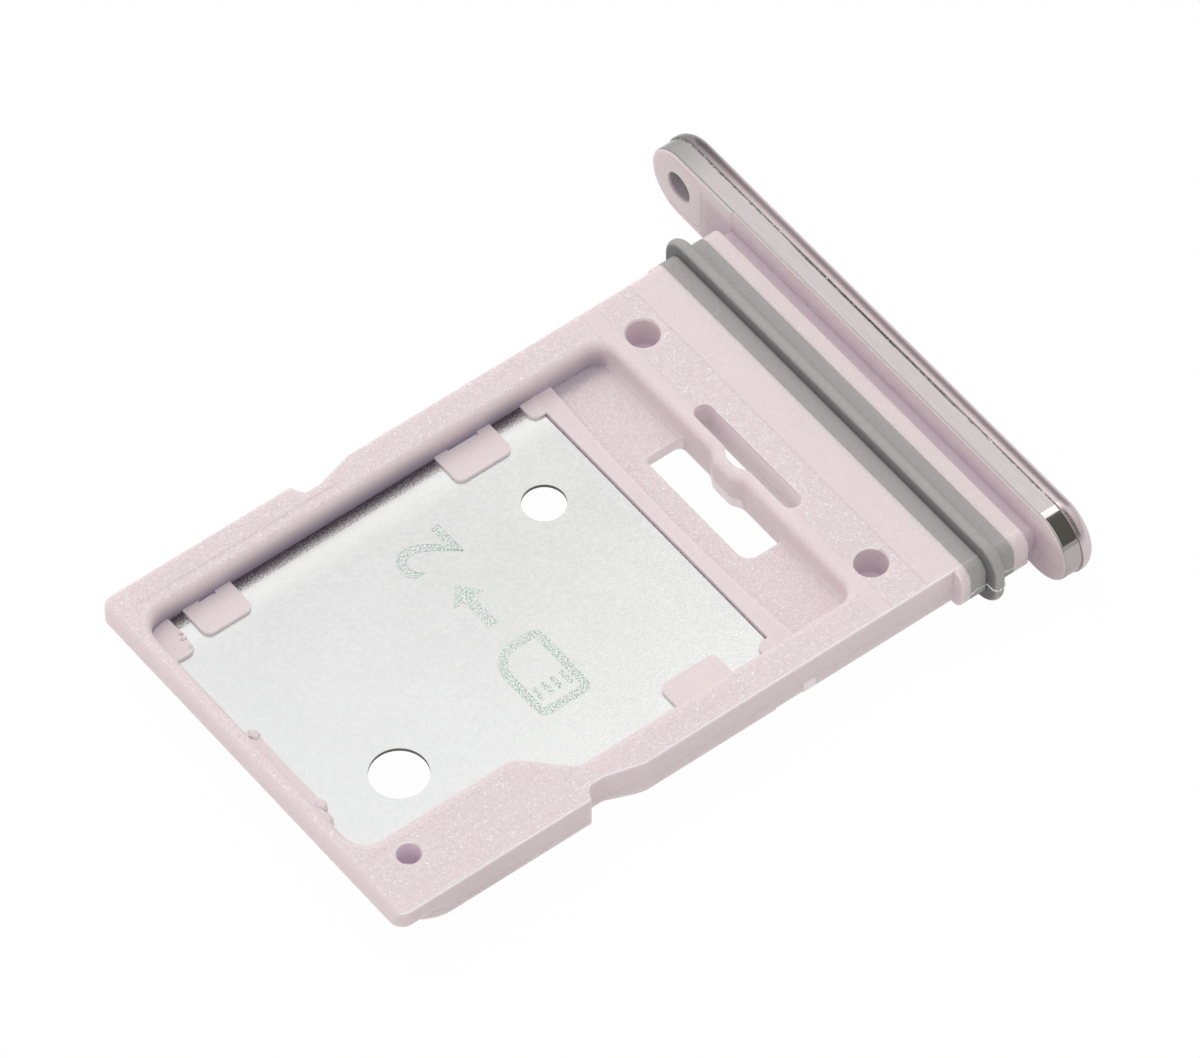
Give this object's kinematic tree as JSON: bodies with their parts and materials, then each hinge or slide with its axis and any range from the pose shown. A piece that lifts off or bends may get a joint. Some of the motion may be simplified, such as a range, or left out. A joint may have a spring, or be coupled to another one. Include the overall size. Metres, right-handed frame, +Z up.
{
  "type": "sim card tray",
  "caption": "Slide-in card tray with a stepped card pocket over a metal floor plate, a spring kink behind it, a rubber seal round its neck and a round-ended cap with an ejector hole.",
  "frame": {"origin": "bottom centre of the whole tray's bounding box, the level of the cap's lower edge", "axes": "+X along the tray from the end that goes in first to the cap, +Y across the tray towards the end of the cap with the ejector hole, +Z up through the open side of the card pocket"},
  "size_m": [0.0228, 0.0184, 0.0025],
  "materials": {
    "pink_plastic": "pale pink moulded plastic with a fine spark-eroded grain",
    "stainless_sheet": "bright satin stainless sheet",
    "grey_rubber": "matte mid-grey seal rubber",
    "pink_metal": "glossy pale pink anodised metal"
  },
  "bodies": {
    "root": {"tray_frame": "pink_plastic", "base_plate": "stainless_sheet", "seal_ring": "grey_rubber", "cap_cover": "pink_metal"}
  },
  "joints": []
}
